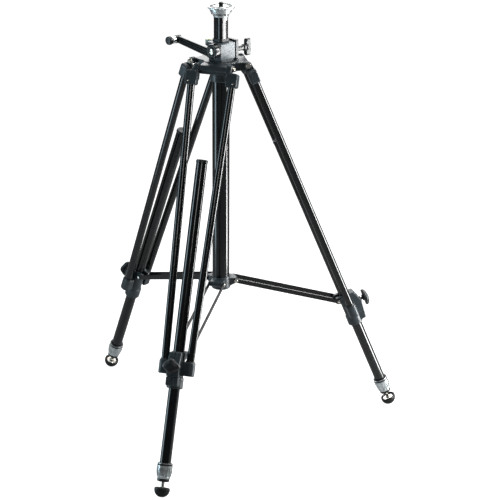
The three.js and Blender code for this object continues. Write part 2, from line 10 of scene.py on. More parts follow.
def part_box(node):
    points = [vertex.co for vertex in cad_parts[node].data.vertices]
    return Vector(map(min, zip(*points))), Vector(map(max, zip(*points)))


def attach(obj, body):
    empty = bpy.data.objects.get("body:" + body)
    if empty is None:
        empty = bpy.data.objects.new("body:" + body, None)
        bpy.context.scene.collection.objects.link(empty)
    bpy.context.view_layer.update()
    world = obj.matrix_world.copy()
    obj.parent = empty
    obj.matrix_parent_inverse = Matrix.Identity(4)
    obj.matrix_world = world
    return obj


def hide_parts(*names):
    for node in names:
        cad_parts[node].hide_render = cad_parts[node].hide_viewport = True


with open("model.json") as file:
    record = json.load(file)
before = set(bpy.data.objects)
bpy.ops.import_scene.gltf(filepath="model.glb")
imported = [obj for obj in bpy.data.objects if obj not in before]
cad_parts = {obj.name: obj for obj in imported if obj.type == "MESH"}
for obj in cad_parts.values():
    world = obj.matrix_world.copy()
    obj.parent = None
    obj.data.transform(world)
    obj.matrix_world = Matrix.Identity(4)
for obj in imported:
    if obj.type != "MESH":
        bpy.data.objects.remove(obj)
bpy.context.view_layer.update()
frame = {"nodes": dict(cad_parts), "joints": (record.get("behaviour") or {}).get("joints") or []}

MM = 0.001
JOINTS = {joint["name"]: joint for joint in frame["joints"]}
LEGS = ("front", "left", "right")
HANDS = {"left": -1, "right": 1}
UP = Vector((0, 0, 1))
SHARP_ANGLE = math.radians(32)

# Driving sizes, in millimetres
SHANK_RADIUS = 8
SHANK_TOP = Vector((0, 43.7, -14))      # the right-hand shank in a leg's own axes
SHANK_END = Vector((0, 26, -619))
COLLAR_TOP, COLLAR_LAND, COLLAR_END, COLLAR_TIP = -801.5, -807.5, -833, -839.5  # along the leg
COLLAR_FLUTES = 15
FLUTE_DEPTH = 2.3
FLUTE_HALF = 0.27                       # half a flute's width, as a share of their spacing
BRACE_PIN = Vector((-18, 0, -582))
BRACE_BAR = {"inside": 14.8, "thick": 2.1, "height": 9.5}
EAR_TOP, EAR_BOTTOM = -595.5, -624      # the lock casting's ears, along the leg
KNOB_ALONG = 606                        # lock knob, down the leg from its hinge
KNOB_ARCH = 0.011                       # how fast the knob's face falls away from its middle, per mm
CRANK_LENGTH = 110
CRANK_DROP = 6                          # arm's middle line under the shaft
CRANK_RISE = math.radians(5.8)
CRANK_TIP = Vector((CRANK_LENGTH * math.cos(CRANK_RISE), 0, CRANK_LENGTH * math.sin(CRANK_RISE) - CRANK_DROP))
ARM_HALF = 28.9                         # half the width of a shoulder arm
LEVEL = Vector((-28.5, -6, 0))          # the level's middle, from the column's axis
LOCK_HEIGHT = 825                       # the column lock's screw, above the floor
SET_SCREWS = 906.6                      # the plate's set screws, above the floor
COLUMN_WAY = 12.35                      # half the width of the opening that the column slides in


# ---- Places ----
def place(origin, y, z):
    """A rigid place: its origin in metres, and the world directions of its Y and Z."""
    y, z = Vector(y).normalized(), Vector(z).normalized()
    matrix = Matrix((y.cross(z), y, z)).transposed().to_4x4()
    matrix.translation = origin
    return matrix


def span(node, where):
    """A CAD node's lowest and highest corners in a place's own axes, in millimetres."""
    inverse = where.inverted()
    points = [(inverse @ vertex.co) / MM for vertex in frame["nodes"][node].data.vertices]
    return [Vector([pick(values) for values in zip(*points)]) for pick in (min, max)]


AXIS = sum(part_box("top_plate"), Vector()) / 2
AXIS.z = 0
COLUMN = place(AXIS, (0, 1, 0), UP)
HEAD = place(AXIS, JOINTS["crank_swing"]["axis"], UP)
HUB_PIN = (30, JOINTS["front_brace_swing"]["pos_m"][2] / MM)    # from the column's axis, and its height
PINION = (HEAD.inverted() @ Vector(JOINTS["crank_swing"]["pos_m"])) / MM


def leg_place(leg):
    fold = JOINTS[f"{leg}_leg_fold"]
    return place(fold["pos_m"], fold["axis"], -Vector(JOINTS[f"{leg}_leg_extend"]["axis"]))


def brace_place(leg):
    """X runs along the bar, from its hub pin to its leg pin."""
    swing = JOINTS[f"{leg}_brace_swing"]
    hub_pin = Vector(swing["pos_m"])
    run = leg_place(leg) @ (BRACE_PIN * MM) - hub_pin
    return place(hub_pin, swing["axis"], run.cross(Vector(swing["axis"])))


def crank_place():
    """X points to the grip's side and Y outwards, from the middle of the shaft."""
    shaft = JOINTS["crank_swing"]
    return place(shaft["pos_m"], -Vector(shaft["axis"]), UP)


# ---- Outlines ----
def soften(points, radius, steps=4, closed=True):
    """A polyline with its corners rounded."""
    points = [Vector(point) for point in points]
    made = []
    for i, here in enumerate(points):
        if not closed and i in (0, len(points) - 1):
            made.append(here)
            continue
        before, after = points[i - 1], points[(i + 1) % len(points)]
        start = here + (before - here) * min(0.48, radius / (before - here).length)
        end = here + (after - here) * min(0.48, radius / (after - here).length)
        for k in range(steps + 1):
            t = k / steps
            made.append(start * (1 - t) ** 2 + here * 2 * t * (1 - t) + end * t ** 2)
    return made


def rectangle(x0, x1, y0, y1, radius=0, steps=5):
    plain = corners((x0, y0), (x1, y0), (x1, y1), (x0, y1))
    return soften(plain, radius, steps) if radius else plain


def arc(radius, start, end, steps=16, centre=(0, 0)):
    angles = [math.radians(start + (end - start) * k / steps) for k in range(steps + 1)]
    return [Vector((centre[0] + radius * math.cos(a), centre[1] + radius * math.sin(a))) for a in angles]


def corners(*points):
    return [Vector(point) for point in points]


def circle(radius, sides=32, centre=(0, 0)):
    return arc(radius, 0, 360, sides, centre)[:-1]


def inset(outline, amount):
    """An anticlockwise outline moved inwards."""
    moved = []
    for i, here in enumerate(outline):
        a = (here - outline[i - 1]).normalized()
        b = (outline[(i + 1) % len(outline)] - here).normalized()
        inwards = Vector((-a.y - b.y, a.x + b.x))
        moved.append(here + inwards * (amount / (1 + a.dot(b))))
    return moved


# ---- Solids ----
def loft(rings, looped=False):
    """A closed skin over rings of points. A ring of one point is a tip."""
    bm = bmesh.new()
    made = [[bm.verts.new(point) for point in ring] for ring in rings]
    pairs = list(zip(made, made[1:]))
    if looped:
        pairs.append((made[-1], made[0]))
    for a, b in pairs:
        count = max(len(a), len(b))
        for i in range(count):
            j = (i + 1) % count
            around = [a[i % len(a)], a[j % len(a)], b[j % len(b)], b[i % len(b)]]
            bm.faces.new(list(dict.fromkeys(around)))
    if not looped:
        for end in (made[0], made[-1]):
            if len(end) > 2:
                bm.faces.new(end)
    bmesh.ops.recalc_face_normals(bm, faces=bm.faces)
    mesh = bpy.data.meshes.new("shape")
    bm.to_mesh(mesh)
    bm.free()
    return mesh


def turned(profile, sides=64, dip=None):
    """A body turned round Z from [radius, height] points. dip(angle, height) lowers its outside."""
    rings = []
    for radius, height in profile:
        if radius == 0:
            rings.append([Vector((0, 0, height))])
            continue
        ring = []
        for i in range(sides):
            angle = 2 * math.pi * i / sides
            r = radius - (dip(angle, height) if dip else 0)
            ring.append(Vector((r * math.cos(angle), r * math.sin(angle), height)))
        rings.append(ring)
    return loft(rings, looped=profile[0][0] != 0)


def spun(profile, radius, sides=64, steps=3):
    """A turned body with its corners eased."""
    return turned(soften(profile, radius, steps, closed=False), sides)


def prism(outline, low, high, ease=0.0, steps=3):
    """An outline extruded along Z with its rims eased."""
    if ease == 0:
        return loft([[Vector((p.x, p.y, z)) for p in outline] for z in (low, high)])
    rings = []
    for end, sign in ((low, 1), (high, -1)):
        part = []
        for k in range(steps + 1):
            turn = math.radians(90 * k / steps)
            lifted = end + sign * ease * (1 - math.cos(turn))
            part.append([Vector((p.x, p.y, lifted)) for p in inset(outline, ease * (1 - math.sin(turn)))])
        rings += part if sign > 0 else part[::-1]
    return loft(rings)


def moved(mesh, matrix):
    mesh.transform(matrix)
    return mesh


def shifted(mesh, x=0, y=0, z=0):
    return moved(mesh, Matrix.Translation((x, y, z)))


def along_x(mesh):
    """Lays a Z-built body along X: its outline was drawn in (Y, Z)."""
    return moved(mesh, Matrix(((0, 0, 1, 0), (1, 0, 0, 0), (0, 1, 0, 0), (0, 0, 0, 1))))


def swung(mesh, degrees, axis="Z"):
    return moved(mesh, Matrix.Rotation(math.radians(degrees), 4, axis))


def facing_x(mesh):
    """Turns a Z-built shape to face out along X."""
    return swung(mesh, 90, "Y")


def facing_y(mesh, side=1):
    """Turns a Z-built shape to face out along Y, to the given side."""
    return swung(mesh, -90 * side, "X")


def prism_y(outline, low, high, ease=0.0, steps=3):
    """An outline drawn in (X, Z) and extruded along Y."""
    return swung(prism(outline, -high, -low, ease, steps), 90, "X")


def spun_y(profile, radius, sides=48, steps=3):
    """A body turned round Y from [radius, Y] points."""
    return facing_y(spun(profile, radius, sides, steps))


def rod(radius, low, high, sides=64, ease=0.4, steps=2):
    return spun([(0, low), (radius, low), (radius, high), (0, high)], ease, sides, steps)


def rod_y(radius, low, high, sides, ease, steps=3):
    return facing_y(rod(radius, low, high, sides, ease, steps))


def hoop(outline, ease, sides):
    """A ring with a closed outline of [radius, height] points, its corners eased."""
    return turned(soften(outline, ease, 2), sides)


def ring(outer, inner, low, high, sides=64, ease=0.3):
    return hoop([(inner, low), (outer, low), (outer, high), (inner, high)], ease, sides)


def dome(radius, height, base, step):
    """Profile points of a dome, from its foot up to a point short of its top."""
    angles = [math.radians(a) for a in range(0, 90, step)]
    return [(radius * math.cos(a), base + height * math.sin(a)) for a in angles]


def square(half, radius=6.5):
    """A square outline round the origin with round corners."""
    return rectangle(-half, half, -half, half, radius, 8)


def linked(name, data):
    """A new object in the scene."""
    made = bpy.data.objects.new(name, data)
    bpy.context.scene.collection.objects.link(made)
    return made


def combined(operation, body, *tools):
    """A body joined with, or cut by, other closed bodies."""
    work = linked("work", body)
    others = []
    for tool in tools:
        other = linked("tool", tool)
        modifier = work.modifiers.new("solid", "BOOLEAN")
        modifier.operation = operation
        modifier.solver = "MANIFOLD"
        modifier.object = other
        others.append(other)
    evaluated = work.evaluated_get(bpy.context.evaluated_depsgraph_get())
    result = bpy.data.meshes.new_from_object(evaluated)
    for scratch in [work, *others]:
        bpy.data.objects.remove(scratch)
    return result


def join(body, *tools):
    return combined("UNION", body, *tools)


def cut(body, *tools):
    return combined("DIFFERENCE", body, *tools)


def gathered(*meshes):
    """Several separate solids in one mesh."""
    bm = bmesh.new()
    for mesh in meshes:
        bm.from_mesh(mesh)
    result = bpy.data.meshes.new("group")
    bm.to_mesh(result)
    bm.free()
    return result


def mirrored(mesh, side):
    """The right-hand shape, or its mirror image across the leg's middle plane."""
    mesh = mesh.copy()
    if side < 0:
        mesh.transform(Matrix.Scale(-1, 4, (0, 1, 0)))
        mesh.flip_normals()
    return mesh


def piece(name, mesh, where, body, material, slot, *stands_for):
    """Puts a finished shape in its place, on the body that carries it."""
    mesh = mesh.copy()
    mesh.name = name
    mesh.transform(Matrix.Scale(MM, 4))
    mesh.shade_smooth()
    mesh.set_sharp_from_angle(angle=SHARP_ANGLE)
    mesh.materials.clear()
    mesh.materials.append(material)
    made = linked(name, mesh)
    made.matrix_world = where
    flat_faces = made.modifiers.new("flat_faces", "WEIGHTED_NORMAL")
    flat_faces.keep_sharp = True
    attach(made, body)
    if stands_for:
        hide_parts(*stands_for)


# ---- Materials ----
class Shader:
    """A procedural material: helpers that add nodes round one Principled shader."""

    def __init__(self, name):
        self.material = bpy.data.materials.new(name)
        self.material.use_nodes = True
        self.tree = self.material.node_tree
        self.surface = self.tree.nodes["Principled BSDF"]

    def node(self, kind, inputs=(), **settings):
        made = self.tree.nodes.new(kind)
        for key, value in settings.items():
            setattr(made, key, value)
        for key, value in dict(inputs).items():
            if isinstance(value, bpy.types.NodeSocket):
                self.tree.links.new(value, made.inputs[key])
            else:
                made.inputs[key].default_value = value
        return made

    def where(self, stretch=(1, 1, 1)):
        """Object coordinates in millimetres, stretched along the object's own axes."""
        source = self.node("ShaderNodeTexCoord").outputs["Object"]
        scale = [1 / (MM * s) for s in stretch]
        return self.node("ShaderNodeMapping", {"Vector": source, "Scale": scale}).outputs["Vector"]

    def noise(self, size, detail=3, stretch=(1, 1, 1)):
        """Noise whose grains are about `size` millimetres wide."""
        inputs = {"Vector": self.where(stretch), "Scale": 1 / size, "Detail": detail}
        return self.node("ShaderNodeTexNoise", inputs).outputs["Fac"]

    def mapped(self, value, low, high, to_low, to_high):
        inputs = {"Value": value, "From Min": low, "From Max": high, "To Min": to_low, "To Max": to_high}
        return self.node("ShaderNodeMapRange", inputs).outputs["Result"]

    def spread(self, noise, low, high, edge=0.15):
        """Noise drawn out from its middle band to the values low and high."""
        return self.mapped(noise, 0.5 - edge, 0.5 + edge, low, high)

    def math(self, operation, a, b):
        return self.node("ShaderNodeMath", {0: a, 1: b}, operation=operation).outputs[0]

    def blend(self, amount, a, b):
        made = self.node("ShaderNodeMix", {0: amount}, data_type="RGBA")
        self.fill(made.inputs[6], a)
        self.fill(made.inputs[7], b)
        return made.outputs[2]

    def mottled(self, noise, dark, light, edge=0.15):
        return self.blend(self.spread(noise, 0, 1, edge), dark, light)

    def edges(self, radius, amount):
        """Near the given amount on worn outside and inside edges, and 0 on flats and gentle curves."""
        eased = self.node("ShaderNodeBevel", {"Radius": radius * MM}, samples=4).outputs["Normal"]
        true = self.node("ShaderNodeNewGeometry").outputs["Normal"]
        dot = self.node("ShaderNodeVectorMath", {0: eased, 1: true}, operation="DOT_PRODUCT").outputs["Value"]
        return self.math("MULTIPLY", self.mapped(dot, 0.985, 0.80, 0, 1), amount)

    def fill(self, socket, value):
        """Links a socket, or gives it a plain number or colour."""
        if isinstance(value, bpy.types.NodeSocket):
            self.tree.links.new(value, socket)
        else:
            socket.default_value = (*value, 1) if isinstance(value, tuple) else value

    def finished(self, **values):
        """Fills the surface's inputs and returns the material."""
        for key, value in values.items():
            name = key.replace("_", " ").title().replace("Ior", "IOR")
            self.fill(self.surface.inputs[name], value)
        return self.material

    def bump(self, height, depth, strength):
        inputs = {"Height": height, "Distance": depth * MM, "Strength": strength}
        return self.node("ShaderNodeBump", inputs).outputs["Normal"]


def anodised(name, lengthwise):
    """Black anodised tube: fine drawing lines along it, faint cloudiness, greyer rubbed edges."""
    shader = Shader(name)
    stretch = [1, 1, 1]
    stretch[lengthwise] = 60
    lines = shader.noise(0.35, 2, stretch)
    clouds = shader.noise(30)
    colour = shader.mottled(clouds, (0.0016, 0.0024, 0.0030), (0.0034, 0.0046, 0.0054))
    rubbed = shader.edges(0.5, shader.mapped(shader.noise(2.5), 0.4, 0.6, 0.2, 0.9))
    return shader.finished(
        base_color=shader.blend(rubbed, colour, (0.10, 0.11, 0.12)),
        roughness=shader.mapped(shader.math("ADD", lines, clouds), 0.7, 1.3, 0.10, 0.19),
        specular_ior_level=0.6,
        normal=shader.bump(lines, 0.0015, 0.4),
    )


def cast_paint(name, dark, light):
    """Slate-grey textured paint on a casting, worn lighter along its edges."""
    shader = Shader(name)
    grain = shader.noise(0.55, 4)
    clouds = shader.noise(14)
    speckle = shader.mapped(shader.noise(0.9, 2), 0.56, 0.66, 0, 0.45)
    colour = shader.blend(speckle, shader.mottled(clouds, dark, light), (0.060, 0.078, 0.088))
    worn = shader.edges(0.7, shader.mapped(shader.noise(3), 0.38, 0.6, 0.15, 0.85))
    return shader.finished(
        base_color=shader.blend(worn, colour, (0.18, 0.21, 0.23)),
        roughness=shader.spread(grain, 0.32, 0.46),
        specular_ior_level=0.6,
        normal=shader.bump(grain, 0.05, 0.55),
    )


def satin_alloy(name, turned_rings, tone=1.0):
    """Bare aluminium, either turned with fine rings round Z or blasted."""
    shader = Shader(name)
    if turned_rings:
        split = shader.node("ShaderNodeSeparateXYZ", {0: shader.where()})
        squares = [shader.math("MULTIPLY", split.outputs[i], split.outputs[i]) for i in (0, 1)]
        radius = shader.math("SQRT", shader.math("ADD", *squares), 0)
        point = shader.node("ShaderNodeCombineXYZ", {0: radius, 1: split.outputs[2]}).outputs[0]
        inputs = {"Vector": point, "Scale": 4.5, "Detail": 2}
        grain = shader.node("ShaderNodeTexNoise", inputs).outputs["Fac"]
    else:
        grain = shader.noise(0.4)
    clouds = shader.noise(6)
    shades = ((0.56, 0.60, 0.61), (0.72, 0.76, 0.76), (0.86, 0.88, 0.88))
    dark, light, bare = [tuple(tone * part for part in shade) for shade in shades]
    rubbed = shader.edges(0.6, shader.mapped(shader.noise(1.5), 0.4, 0.6, 0, 0.5))
    return shader.finished(
        base_color=shader.blend(rubbed, shader.mottled(clouds, dark, light), bare),
        roughness=shader.spread(grain, 0.24, 0.38),
        metallic=1.0,
        normal=shader.bump(grain, 0.02, 0.35),
    )


def dark_steel():
    """Oiled black steel with brighter rubbed edges."""
    shader = Shader("dark_steel")
    fine = shader.noise(0.4)
    return shader.finished(
        base_color=shader.blend(shader.edges(0.3, 0.5), (0.010, 0.012, 0.014), (0.06, 0.07, 0.08)),
        roughness=shader.spread(fine, 0.36, 0.50),
        metallic=0.2,
        normal=shader.bump(fine, 0.01, 0.3),
    )


def bright_steel():
    """Zinc-plated steel with a faint straw tint in patches."""
    shader = Shader("bright_steel")
    clouds = shader.noise(2.2)
    fine = shader.noise(0.25, 2)
    colour = shader.blend(shader.mapped(clouds, 0.4, 0.62, 0, 1), (0.74, 0.75, 0.76), (0.80, 0.74, 0.60))
    return shader.finished(
        base_color=shader.blend(shader.edges(0.4, 0.35), colour, (0.95, 0.95, 0.95)),
        roughness=shader.spread(fine, 0.14, 0.27),
        metallic=1.0,
        normal=shader.bump(fine, 0.01, 0.3),
    )


def moulded(name, smoothest, roughest):
    """Black moulded plastic with a fine spark-eroded texture."""
    shader = Shader(name)
    grain = shader.noise(0.45)
    clouds = shader.noise(9, 2)
    colour = shader.mottled(clouds, (0.0055, 0.0070, 0.0080), (0.0095, 0.0120, 0.0135))
    rubbed = shader.edges(0.6, shader.mapped(shader.noise(2.0), 0.4, 0.62, 0.1, 0.7))
    return shader.finished(
        base_color=shader.blend(rubbed, colour, (0.055, 0.065, 0.070)),
        roughness=shader.spread(grain, smoothest, roughest),
        specular_ior_level=0.55,
        normal=shader.bump(grain, 0.03, 0.4),
    )


def rubber():
    """Black rubber, dull, with a little dust."""
    shader = Shader("rubber")
    grain = shader.noise(0.7, 4)
    dust = shader.mapped(shader.noise(4.5, 4), 0.50, 0.72, 0, 0.25)
    return shader.finished(
        base_color=shader.blend(dust, (0.0035, 0.0040, 0.0045), (0.030, 0.030, 0.029)),
        roughness=shader.spread(grain, 0.34, 0.50),
        specular_ior_level=0.35,
        normal=shader.bump(grain, 0.05, 0.5),
    )


def brass():
    """Plain turned brass, slightly tarnished."""
    shader = Shader("turned_brass")
    clouds = shader.noise(2.5)
    return shader.finished(
        base_color=shader.mottled(clouds, (0.62, 0.43, 0.15), (0.48, 0.30, 0.10), 0.1),
        roughness=shader.spread(clouds, 0.25, 0.42),
        metallic=1.0,
        normal=shader.bump(shader.noise(0.3, 2), 0.01, 0.3),
    )


def level_fluid():
    """Yellow-green fluid under a clear crown."""
    shader = Shader("level_fluid")
    return shader.finished(
        base_color=shader.mottled(shader.noise(5, 2), (0.42, 0.55, 0.06), (0.60, 0.66, 0.12), 0.1),
        roughness=shader.spread(shader.noise(2, 2), 0.04, 0.09),
        coat_weight=0.8,
        coat_roughness=0.03,
        normal=shader.bump(shader.noise(3, 1), 0.01, 0.2),
    )


def mark_paint(name, light, dark):
    """Opaque printed colour with slight mottling."""
    shader = Shader(name)
    mottling = shader.noise(0.6)
    return shader.finished(
        base_color=shader.mottled(mottling, dark, light, 0.1),
        roughness=shader.spread(mottling, 0.35, 0.5),
        normal=shader.bump(mottling, 0.01, 0.3),
    )


TUBE_BLACK = anodised("anodised_tube", 2)
BAR_BLACK = anodised("anodised_bar", 0)
CAST = cast_paint("cast_paint", (0.011, 0.018, 0.022), (0.019, 0.029, 0.035))
# A lighter copy of the casting paint for the gear block: painted light on its lit faces.
BLOCK_PAINT_LIT_COPY = cast_paint("block_paint_lit_copy", (0.075, 0.100, 0.115), (0.100, 0.128, 0.142))
TURNED = satin_alloy("satin_turned", True)
BLASTED = satin_alloy("satin_blasted", False)
DULL = satin_alloy("dull_blasted", False, 0.16)
STEEL = bright_steel()
DARK_STEEL = dark_steel()
PLASTIC = moulded("moulded_black", 0.30, 0.46)
GLOSS = moulded("gloss_black", 0.13, 0.22)
RUBBER = rubber()
BRASS = brass()
FLUID = level_fluid()
GREY_MARK = mark_paint("grey_mark", (0.10, 0.12, 0.13), (0.06, 0.07, 0.08))
CUP = mark_paint("level_cup", (0.62, 0.68, 0.62), (0.50, 0.57, 0.50))
ORANGE_MARK = mark_paint("orange_mark", (0.80, 0.22, 0.03), (0.62, 0.15, 0.02))


# ---- Fasteners ----
def threaded(radius, pitch, low, high, depth=0.6, sides=24, per_turn=6):
    """A screw with a real helical thread and a plain tip."""
    count = max(2, round((high - low) / pitch * per_turn))
    heights = [low + (high - low) * k / count for k in range(count + 1)]
    profile = [(0, low), *[(radius, z) for z in heights], (radius - 0.9, high + 0.5), (0, high + 0.5)]

    def thread(angle, z):
        phase = (z / pitch - angle / (2 * math.pi)) % 1
        return depth * abs(2 * phase - 1) if z <= high else 0
    return turned(profile, sides, thread)


def socket_screw(radius, height, socket):
    """Cap screw head standing on Z = 0, with a hexagon socket in its top."""
    head = rod(radius, 0, height, 32, 0.35)
    return cut(head, prism(circle(socket, 6), height * 0.4, height + 1))


def slotted_screw(radius, height, slot_width):
    """Domed head standing on Z = 0, slotted."""
    foot = height * 0.45
    profile = [(0, 0), (radius, 0), *dome(radius, height - foot, foot, 15), (0, height)]
    slot = rectangle(-radius - 1, radius + 1, -slot_width / 2, slot_width / 2)
    return cut(turned(profile, 40), prism(slot, foot, height + 1))


def hexagon_head(radius, height):
    """Hexagon head standing on Z = 0, its corners turned off."""
    cone = [(0, 0), (radius * 1.02, 0), (radius * 1.02, height - 0.9), (radius * 0.86, height), (0, height)]
    return combined("INTERSECT", prism(circle(radius, 6), 0, height), turned(cone, 48))


# ---- Leg ----
LEG = leg_place("front")
SLIDE_LOW, SLIDE_HIGH = span("front_slide_tube", LEG)
SLIDE_RADIUS = SLIDE_HIGH.x


def aimed(start, end):
    """A matrix that lays Z along the line from start to end."""
    turn = (end - start).to_track_quat("Z", "X").to_matrix().to_4x4()
    return Matrix.Translation(start) @ turn


SHANK_LINE = aimed(SHANK_END, SHANK_TOP)


def shank_mesh():
    return moved(rod(SHANK_RADIUS, 0, (SHANK_TOP - SHANK_END).length, 56, 0.8), SHANK_LINE)


def shank_collar():
    """Thin ring where a shank enters its casting."""
    return moved(ring(9.6, SHANK_RADIUS + 0.1, 23, 26, 48, 0.6), SHANK_LINE)


def clamp_mesh():
    """Eye on the hinge bolt, widening into a boxy socket for the shank."""
    foot = corners((-9.5, -22), (-9.5, -26), (9.5, -26), (9.5, -22))
    lug = prism_y(arc(7.4, 0, 180, 20) + foot, 29.7, 40, 1.0)
    box = along_x(prism(rectangle(31, 55, -38, -9, 5), -9.5, 9.5, 2.0, 4))
    screw_well = shifted(facing_x(rod(2.9, 0, 6, 24, 0)), 7.9, 47.5, -31)
    tube_way = moved(rod(SHANK_RADIUS + 0.25, -5, 60, 48, 0), aimed(SHANK_TOP, SHANK_END))
    bolt_way = prism_y(circle(3.3, 24), 20, 60)
    spot_face = prism_y(circle(6.8, 40), 39.4, 60)
    return cut(join(lug, box), tube_way, bolt_way, spot_face, screw_well)


def clamp_screw():
    return shifted(facing_x(socket_screw(2.4, 1.6, 1.2)), 8.0, 47.5, -31)


def casting_mesh():
    """Sleeve round the slide with two ears on the shanks, a clamping block and a lug for the braces."""
    top = SHANK_END.z + 42
    bottom = span("front_lock_casting", LEG)[0].z
    sleeve = spun([
        (0, bottom), (15.4, bottom), (16.6, bottom + 1.4), (16.6, -630), (14.7, -627),
        (14.7, top - 2), (13.6, top), (0, top),
    ], 1.2, 72)
    block = [(7, bottom + 5), (24, bottom + 5), (29, bottom + 48), (20, top - 1), (7, top - 1)]
    clamp = prism_y(soften(block, 3.5, 4), -13, 13, 2.2, 4)
    bar_room = prism(rectangle(-20, 7.6, -18, 18), EAR_BOTTOM - 5, EAR_TOP + 5)
    ear = cut(prism(rectangle(-10.8, 10.8, 4, 37.6, 10.4, 8), EAR_BOTTOM, EAR_TOP, 2.4, 5), bar_room)
    ears = [mirrored(ear, side) for side in HANDS.values()]
    pin = Vector((BRACE_PIN.x, BRACE_PIN.z))
    lug = arc(7.5, 90, 270, 18, pin) + corners((0, pin.y - 12), (0, top - 0.5))
    body = join(sleeve, clamp, *ears, prism_y(lug, -14.2, 14.2, 0.8))
    waist = along_x(prism(rectangle(-20, 20, -628.6, -627.2), 17, 40))
    shank_ways = [
        moved(rod(SHANK_RADIUS + 0.25, 0, 90, 48, 0), mirror @ SHANK_LINE)
        for mirror in (Matrix.Identity(4), Matrix.Rotation(math.pi, 4, "Z"))
    ]
    slit = prism(rectangle(10, 42, -0.7, 0.7), bottom - 5, top + 5)
    throat = prism_y(rectangle(-40, -8, pin.y - 4, pin.y + 20), -6.5, 6.5)
    knob_spot = rod(7.4, 26.6, 45, 40, 0, 3)
    slide_way = rod(SLIDE_RADIUS + 0.35, bottom - 5, top + 20, 72, 0)
    return cut(
        body, slide_way, *shank_ways, slit, waist, throat, shifted(facing_x(knob_spot), z=-KNOB_ALONG),
        prism_y(circle(3.2, 24, pin), -20, 20),
    )


def lozenge(scale=1.0):
    """Knob outline in (Y, Z): a flattened diamond."""
    long, short, tip = 19.0 * scale, 15.0 * scale, 3.0 * scale
    return soften([
        (long, -tip), (long, tip), (tip, short), (-tip, short),
        (-long, tip), (-long, -tip), (-tip, -short), (tip, -short),
    ], 2.6 * scale, 4)


def knob_mesh():
    """Arched lozenge, its tips bent towards the leg, with a diamond raised in a shallow pocket."""
    layers = [
        (0.42, 37.2), (0.90, 38.6), (1.0, 41.0), (1.0, 43.4), (0.95, 45.2), (0.86, 46.3), (0.70, 46.9),
        (0.67, 46.1), (0.52, 46.2), (0.49, 47.0), (0.30, 47.2),
    ]
    rings = []
    for scale, height in layers:
        outline = lozenge(scale)
        rings.append([Vector((p.x, p.y, height - KNOB_ARCH * p.length_squared)) for p in outline])
    hub = spun([(0, 33.2), (6.2, 33.2), (7.2, 35), (8.4, 38.5), (0, 38.5)], 0.6, 48)
    return along_x(join(loft(rings), hub))


def knob_screw_mesh():
    screw = threaded(3, 1.0, 15.5, 33.5, 0.45)
    return facing_x(gathered(screw, ring(6.8, 3.1, 28.4, 29.8, 40)))


def cap_mesh():
    """Moulded cap with a stepped crown and a moulding dimple."""
    crown = span("front_tube_cap", LEG)[1].z
    rim = crown - 6.2
    return spun([
        (0, rim - 3), (9.6, rim - 3), (9.6, rim), (12.2, rim), (12.2, crown - 2.2), (10.6, crown),
        (5, crown), (4.2, crown - 0.8), (0, crown - 0.8),
    ], 0.9, 64)


def fluted_barrel():
    """Alloy barrel that narrows to its foot, with flutes that stop short of both rims."""
    def dip(angle, height):
        phase = (angle / (2 * math.pi) * COLLAR_FLUTES) % 1
        groove = max(0.0, 1 - ((phase - 0.5) / FLUTE_HALF) ** 2) ** 0.5
        rise = min(1.0, max(0.0, (height - COLLAR_END - 3) / 2.0))
        fall = min(1.0, max(0.0, (COLLAR_LAND - 1.8 - height) / 1.2))
        return FLUTE_DEPTH * groove * rise * fall
    profile = [(0, COLLAR_END)]
    for k in range(23):
        share = k / 22
        height = COLLAR_END + (COLLAR_LAND - COLLAR_END) * share
        profile.append((12.9 + 3.1 * math.sin(math.radians(90 * min(1, share * 1.45))), height))
    profile += [(15.2, COLLAR_LAND + 0.4), (0, COLLAR_LAND + 0.4)]
    barrel = turned(profile, COLLAR_FLUTES * 14, dip)
    slide_way = rod(SLIDE_RADIUS + 0.2, -806.5, -800, 64, 0)
    return cut(barrel, slide_way, rod(5.2, -845, -800, 40, 0))


def collar_rings():
    """Black ring on top of the barrel, with a lip, and the smaller one under it."""
    bore = SLIDE_RADIUS + 0.2
    upper = hoop([
        (bore, COLLAR_TOP - 0.5), (bore, COLLAR_LAND + 0.5), (15.4, COLLAR_LAND + 0.5),
        (15.4, COLLAR_TOP - 1.2), (13.6, COLLAR_TOP), (12.4, COLLAR_TOP),
    ], 0.5, 72)
    lower = hoop([
        (5.3, COLLAR_TIP), (11.2, COLLAR_TIP), (12.5, COLLAR_TIP + 1.6), (12.5, COLLAR_END - 0.1),
        (5.3, COLLAR_END - 0.1),
    ], 0.6, 72)
    return gathered(upper, lower)


def collar_line():
    """Bright turned edge on the top ring."""
    return ring(15.7, 14.6, COLLAR_TOP - 1.9, COLLAR_TOP - 1.1, 72, 0.15)


def spike_mesh():
    """Steel post with a cross hole, turned to a point inside the rubber foot."""
    post = spun([(0, -866.6), (3.5, -854), (3.5, -806), (0, -806)], 0.3, 48)
    return cut(post, prism_y(circle(1.5, 24, (0, -844.3)), -10, 10))


def foot_ball():
    """The rubber foot's radius, and its middle's place along the leg."""
    low, high = span("front_foot_pad", LEG)
    radius = (high.x - low.x) / 2
    return radius, low.z + radius


def pad_mesh():
    """Lower part of a rubber ball, with a lip round its dished top and a bore for the post."""
    ball, centre = foot_ball()
    bore = 5.0
    profile = []
    start, end = math.asin(bore / ball), math.pi / 2 + 0.16
    for k in range(27):
        angle = start + (end - start) * k / 26
        profile.append((ball * math.sin(angle), centre - ball * math.cos(angle)))
    rim = profile[-1][1]
    dish = soften([
        profile[-1], (14.4, rim + 1.2), (12.6, rim + 0.2), (10.8, rim - 2.6), (bore, rim - 3.2),
    ], 1.4, 4, closed=False)
    return turned(profile + dish[1:])


def pad_washer():
    """Steel washer on the floor of the foot's dish."""
    return shifted(ring(10.4, 5.3, 0, 0.9, 48, 0.25), z=foot_ball()[1] - 0.6)


